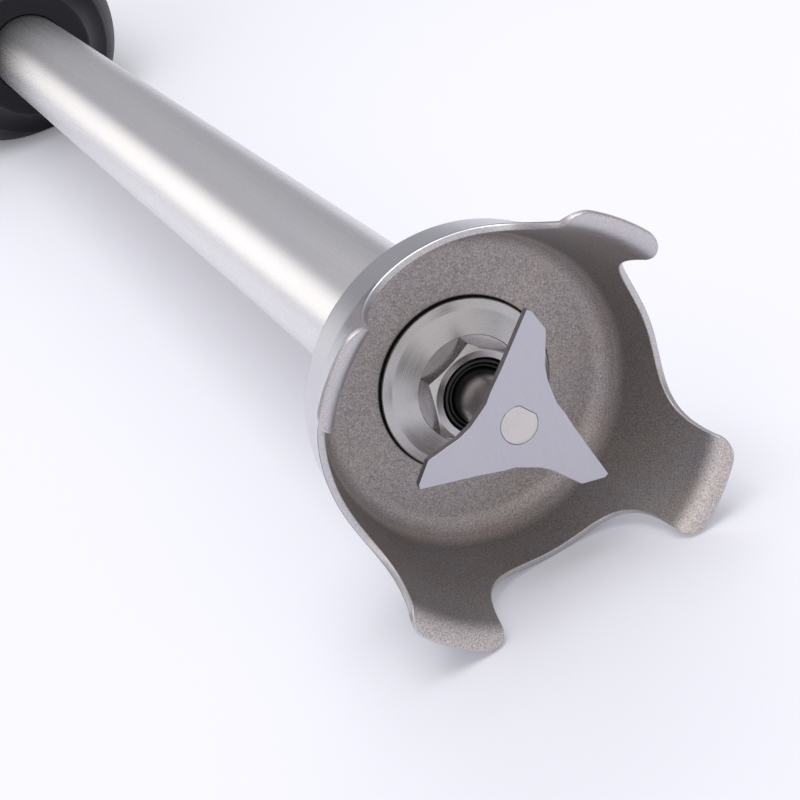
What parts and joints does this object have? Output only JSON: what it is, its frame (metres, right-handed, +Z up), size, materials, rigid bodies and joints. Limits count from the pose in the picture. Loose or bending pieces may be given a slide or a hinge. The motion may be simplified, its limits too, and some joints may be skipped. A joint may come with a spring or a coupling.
{
  "type": "immersion blender",
  "caption": "Long-shaft stick blender: steel tube, bell guard with lipped feet, three-arm blade behind it and a dark motor housing with trigger, lock and speed wheel.",
  "frame": {"origin": "on the surface it lies on, below the middle of its bounding box", "axes": "+Y along the shaft from the bell guard to the housing, +Z up when it lies on its back, +X to the right seen from the bell"},
  "size_m": [0.084, 0.7954, 0.0739],
  "materials": {
    "blasted_steel": "bead-blasted stainless steel, fine even grain, rims worn bright",
    "tube_steel": "satin stainless steel, brushed along the shaft",
    "turned_steel": "turned and polished stainless steel",
    "shaft_steel": "ground steel",
    "blade_steel": "satin ground stainless steel with thin dark edges",
    "bearing_steel": "bearing steel",
    "fastener_steel": "zinc-plated steel",
    "spring_steel": "spring wire",
    "seal_rubber": "black nitrile rubber",
    "black_housing": "black glass-filled nylon with a fine moulded grain",
    "switch_black": "black phenolic",
    "control_red": "red moulded plastic",
    "grey_plastic": "grey moulded plastic",
    "white_plastic": "natural nylon and PTFE",
    "aluminium": "machined and die-cast aluminium",
    "laminated_iron": "stacked electrical steel laminations",
    "copper": "enamelled copper",
    "brass": "brass sheet",
    "carbon": "pressed carbon",
    "board_green": "green circuit board"
  },
  "bodies": {
    "housing": {"bell_guard": "blasted_steel", "shaft_tube": "tube_steel", "seal_nut": "turned_steel", "trigger_pin": "shaft_steel", "lower_bearing": "bearing_steel", "upper_bearing": "bearing_steel", "motor_front_bearing": "bearing_steel", "motor_rear_bearing": "bearing_steel", "motor_screw_1": "fastener_steel", "motor_screw_2": "fastener_steel", "housing_screw_1": "fastener_steel", "housing_screw_2": "fastener_steel", "housing_screw_3": "fastener_steel", "housing_screw_4": "fastener_steel", "housing_screw_5": "fastener_steel", "trigger_spring": "spring_steel", "lock_spring": "spring_steel", "brush_spring_left": "spring_steel", "brush_spring_right": "spring_steel", "lip_seal": "seal_rubber", "nose_collar": "black_housing", "housing_left": "black_housing", "housing_right": "black_housing", "rear_cap": "black_housing", "cord_gland": "black_housing", "power_switch": "switch_black", "gland_nut": "grey_plastic", "shaft_bush_lower": "white_plastic", "shaft_bush_upper": "white_plastic", "speed_potentiometer": "white_plastic", "suppression_capacitor": "white_plastic", "bearing_holder": "aluminium", "tube_flange": "aluminium", "motor_front_plate": "aluminium", "motor_rear_plate": "aluminium", "triac_heatsink": "aluminium", "stator_core": "laminated_iron", "field_coil_upper": "copper", "field_coil_lower": "copper", "brush_holder_left": "brass", "brush_holder_right": "brass", "carbon_brush_left": "carbon", "carbon_brush_right": "carbon", "control_board": "board_green"},
    "drive_line": {"blade": "blade_steel", "drive_shaft": "shaft_steel", "driven_coupling": "bearing_steel", "coupling_spider": "seal_rubber", "driving_coupling": "bearing_steel", "motor_shaft": "shaft_steel", "cooling_fan": "grey_plastic", "armature_core": "laminated_iron", "armature_winding_front": "copper", "armature_winding_rear": "copper", "commutator": "copper"},
    "trigger": {"trigger": "control_red"},
    "switch_plunger": {"switch_plunger": "white_plastic"},
    "lock_button": {"lock_button": "control_red"},
    "speed_dial": {"speed_dial": "grey_plastic"},
    "hanging_ring": {"hanging_ring": "turned_steel"}
  },
  "joints": [
    {"name": "blade_spin", "type": "hinge", "parent": "housing", "child": "drive_line", "pos_m": [0, -0.36629, 0.03189], "axis": [0, 1, 0], "continuous": true},
    {"name": "trigger_press", "type": "hinge", "parent": "housing", "child": "trigger", "pos_m": [0, 0.25572, 0.04689], "axis": [-1, 0, 0], "range_deg": [0, 6], "stiffness_Nm_per_rad": 0.4, "springref_deg": -11.46, "deforming": ["trigger_spring"]},
    {"name": "plunger_travel", "type": "slide", "parent": "housing", "child": "switch_plunger", "axis": [0, 0, -1], "range_m": [0, 0.0042]},
    {"name": "lock_press", "type": "slide", "parent": "housing", "child": "lock_button", "axis": [1, 0, 0], "range_m": [0, 0.0035], "stiffness_N_per_m": 200, "springref_m": -0.002, "deforming": ["lock_spring"]},
    {"name": "speed_turn", "type": "hinge", "parent": "housing", "child": "speed_dial", "pos_m": [0, 0.35472, 0.05189], "axis": [1, 0, 0], "range_deg": [0, 270]},
    {"name": "ring_swing", "type": "hinge", "parent": "housing", "child": "hanging_ring", "pos_m": [0, 0.39171, 0.05489], "axis": [1, 0, 0], "range_deg": [0, 175]}
  ],
  "couplings": [
    {"joint": "plunger_travel", "follows": "trigger_press", "m_per_rad": 0.038}
  ]
}
